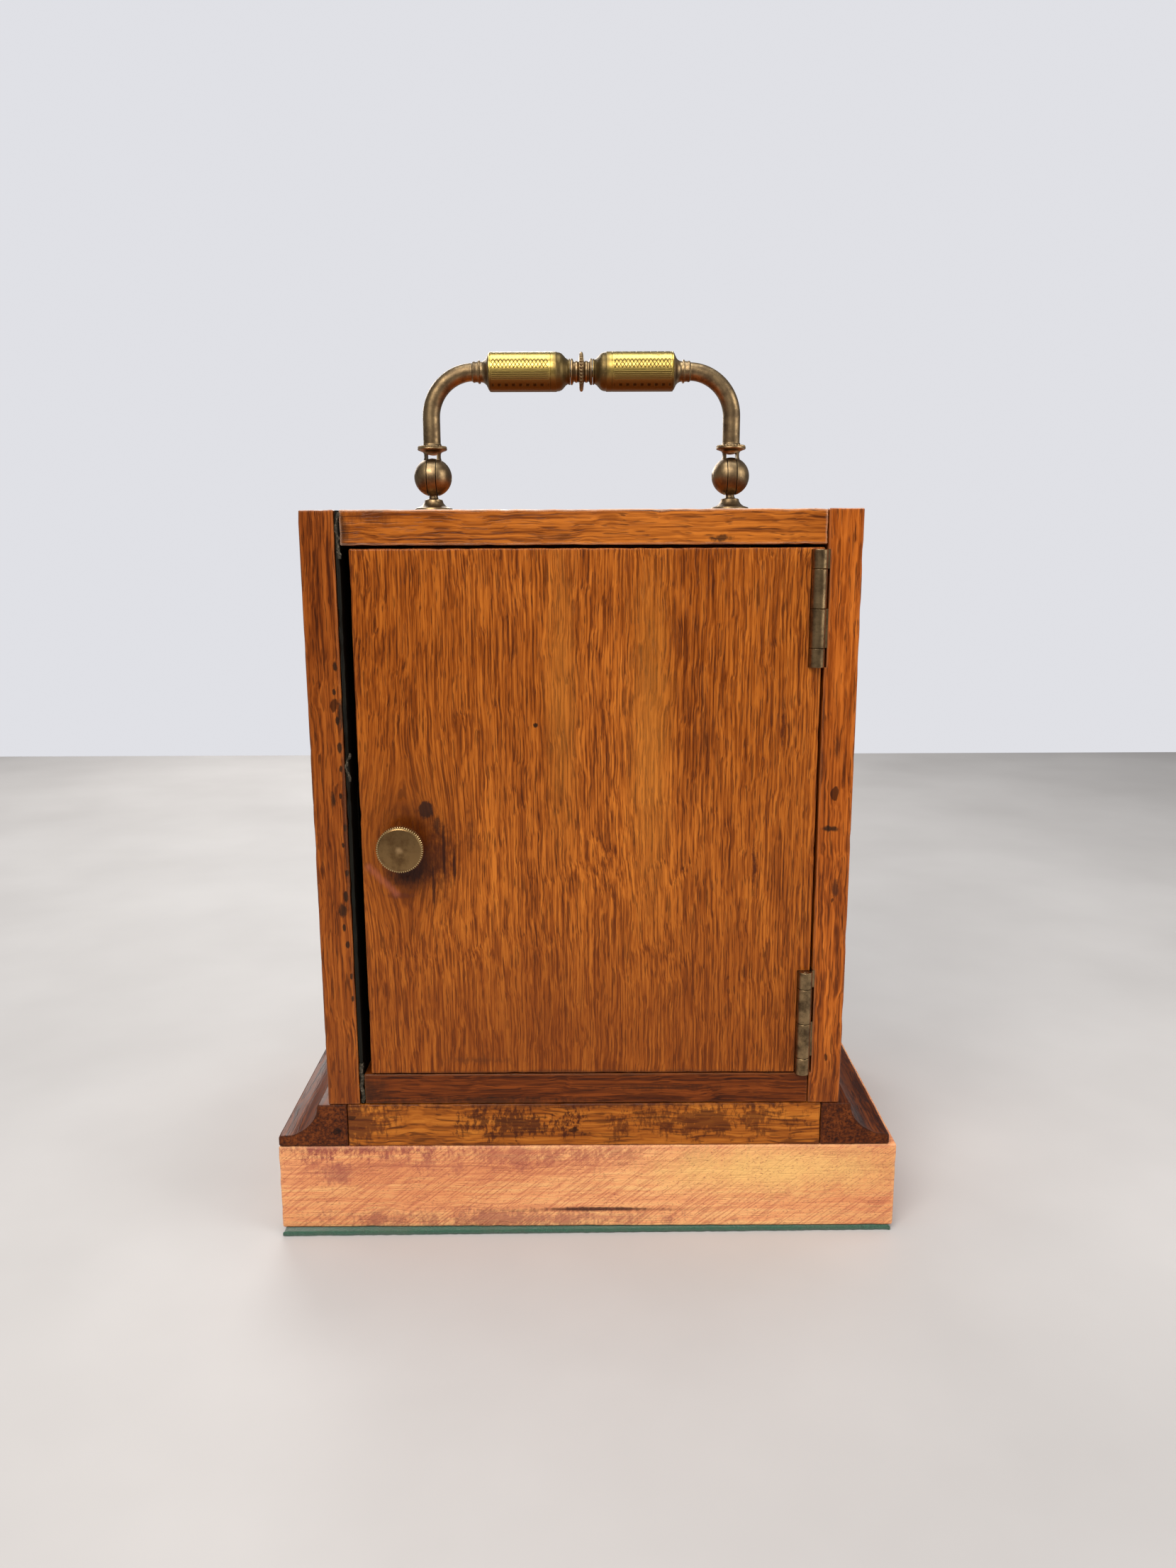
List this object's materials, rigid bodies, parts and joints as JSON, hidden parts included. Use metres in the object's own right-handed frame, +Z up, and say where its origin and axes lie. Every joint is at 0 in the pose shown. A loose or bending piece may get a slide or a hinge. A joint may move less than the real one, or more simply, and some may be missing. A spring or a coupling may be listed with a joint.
{
  "type": "mantel clock",
  "caption": "Wooden mantel clock with a hinged rear door, a folding brass carrying handle, a moulded plinth on a pale block with felt, and a wound lever movement.",
  "frame": {"origin": "on the surface the clock stands on, under the middle of the base block's depth and of the case's width", "axes": "+Z up; -Y towards the side the dial faces; +Y out of the rear door"},
  "size_m": [0.1862, 0.1386, 0.2645],
  "materials": {
    "oak": "satin french polish",
    "dark_oak": "dark stained, satin",
    "pale_wood": "pale, thinly stained, matt",
    "dark_slip": "black stained",
    "felt": "green baize",
    "aged_brass": "brown patina, worn bright",
    "bright_brass": "polished and engraved",
    "movement_brass": "grained, lacquered",
    "steel": "polished",
    "blued_steel": "blued",
    "enamel": "white enamel, glossy",
    "glass": "clear"
  },
  "bodies": {
    "case": {"case_side_left": "oak", "case_side_right": "oak", "side_slip": "dark_slip", "case_top": "oak", "case_bottom": "dark_oak", "door_stop": "dark_oak", "front_panel": "oak", "plinth_moulding_left": "dark_oak", "plinth_moulding_right": "dark_oak", "plinth_moulding_front": "dark_oak", "plinth_back_rail": "oak", "base_block": "pale_wood", "felt_pad": "felt", "hinge_upper_case_leaf": "aged_brass", "hinge_lower_case_leaf": "aged_brass", "hinge_upper_pin": "steel", "hinge_lower_pin": "steel", "handle_foot_left": "aged_brass", "handle_foot_right": "aged_brass", "handle_pin_left": "aged_brass", "handle_pin_right": "aged_brass", "dial": "enamel", "bezel": "bright_brass", "glass": "glass", "front_plate": "movement_brass", "back_plate": "movement_brass", "balance_cock": "movement_brass"},
    "door": {"rear_door": "oak", "hinge_upper_door_leaf": "aged_brass", "hinge_lower_door_leaf": "aged_brass"},
    "catch": {"door_knob": "aged_brass", "latch_tongue": "aged_brass"},
    "bail": {"handle_arm_left": "aged_brass", "handle_arm_right": "aged_brass", "handle_grip_left": "bright_brass", "handle_grip_right": "bright_brass", "handle_spool": "aged_brass", "handle_core_rod": "steel"},
    "minute": {"centre_arbor": "steel", "cannon_pinion": "movement_brass", "minute_hand": "blued_steel", "set_knob": "bright_brass"},
    "minute_work": {"minute_wheel": "movement_brass"},
    "hour": {"hour_wheel": "movement_brass", "hour_hand": "blued_steel"},
    "barrel": {"barrel": "movement_brass", "barrel_cap": "movement_brass", "mainspring": "blued_steel"},
    "intermediate": {"intermediate_wheel": "movement_brass"},
    "centre": {"centre_wheel": "movement_brass"},
    "third": {"third_wheel": "movement_brass"},
    "fourth": {"fourth_wheel": "movement_brass"},
    "escape": {"escape_wheel": "steel"},
    "winding": {"barrel_arbor": "steel", "ratchet_wheel": "steel", "winding_key": "bright_brass"},
    "click": {"click": "steel"},
    "lever": {"lever": "steel"},
    "balance": {"balance": "bright_brass", "hairspring": "blued_steel"}
  },
  "joints": [
    {"name": "rear_door", "type": "hinge", "parent": "case", "child": "door", "pos_m": [-0.0645, 0.0662, 0.12835], "axis": [0, 0, 1], "range_deg": [0, 175]},
    {"name": "door_catch", "type": "hinge", "parent": "door", "child": "catch", "pos_m": [0.051, 0.0656, 0.1221], "axis": [0, 1, 0], "range_deg": [0, 90]},
    {"name": "carrying_handle", "type": "hinge", "parent": "case", "child": "bail", "pos_m": [0, 0.00845, 0.227], "axis": [1, 0, 0], "range_deg": [-100, 100]},
    {"name": "minute_hand", "type": "hinge", "parent": "case", "child": "minute", "pos_m": [0, -0.0371, 0.12835], "axis": [0, 1, 0], "continuous": true},
    {"name": "minute_work", "type": "hinge", "parent": "case", "child": "minute_work", "pos_m": [0, -0.0391, 0.11635], "axis": [0, 1, 0], "continuous": true},
    {"name": "hour_hand", "type": "hinge", "parent": "case", "child": "hour", "pos_m": [0, -0.0391, 0.12835], "axis": [0, 1, 0], "continuous": true},
    {"name": "fourth_wheel", "type": "hinge", "parent": "case", "child": "fourth", "pos_m": [0.00926, -0.0371, 0.14776], "axis": [0, 1, 0], "continuous": true},
    {"name": "third_wheel", "type": "hinge", "parent": "case", "child": "third", "pos_m": [0.01691, -0.0371, 0.13451], "axis": [0, 1, 0], "continuous": true},
    {"name": "centre_wheel", "type": "hinge", "parent": "case", "child": "centre", "pos_m": [0, -0.0371, 0.12835], "axis": [0, 1, 0], "continuous": true},
    {"name": "intermediate_wheel", "type": "hinge", "parent": "case", "child": "intermediate", "pos_m": [-0.01776, -0.0371, 0.12189], "axis": [0, 1, 0], "continuous": true},
    {"name": "going_barrel", "type": "hinge", "parent": "case", "child": "barrel", "pos_m": [-0.01968, -0.0371, 0.09992], "axis": [0, 1, 0], "continuous": true},
    {"name": "escape_wheel", "type": "hinge", "parent": "case", "child": "escape", "pos_m": [-0.00028, -0.0371, 0.15913], "axis": [0, 1, 0], "continuous": true},
    {"name": "winding", "type": "hinge", "parent": "case", "child": "winding", "pos_m": [-0.01968, -0.0371, 0.09992], "axis": [0, 1, 0], "continuous": true},
    {"name": "click", "type": "hinge", "parent": "case", "child": "click", "pos_m": [-0.01088, -0.0051, 0.09092], "axis": [0, 1, 0], "range_deg": [0, 14]},
    {"name": "lever", "type": "hinge", "parent": "case", "child": "lever", "pos_m": [-0.01062, -0.0371, 0.15731], "axis": [0, 1, 0], "range_deg": [-8, 8]},
    {"name": "balance", "type": "hinge", "parent": "case", "child": "balance", "pos_m": [-0.02342, -0.0371, 0.15505], "axis": [0, 1, 0], "range_deg": [-135, 135]}
  ],
  "couplings": [
    {"joint": "minute_work", "follows": "minute_hand", "ratio": -0.33333},
    {"joint": "hour_hand", "follows": "minute_hand", "ratio": 0.083333},
    {"joint": "third_wheel", "follows": "fourth_wheel", "ratio": -0.13333},
    {"joint": "centre_wheel", "follows": "fourth_wheel", "ratio": 0.016667},
    {"joint": "intermediate_wheel", "follows": "fourth_wheel", "ratio": -0.0027778},
    {"joint": "going_barrel", "follows": "fourth_wheel", "ratio": 0.00046296},
    {"joint": "escape_wheel", "follows": "fourth_wheel", "ratio": -10}
  ]
}
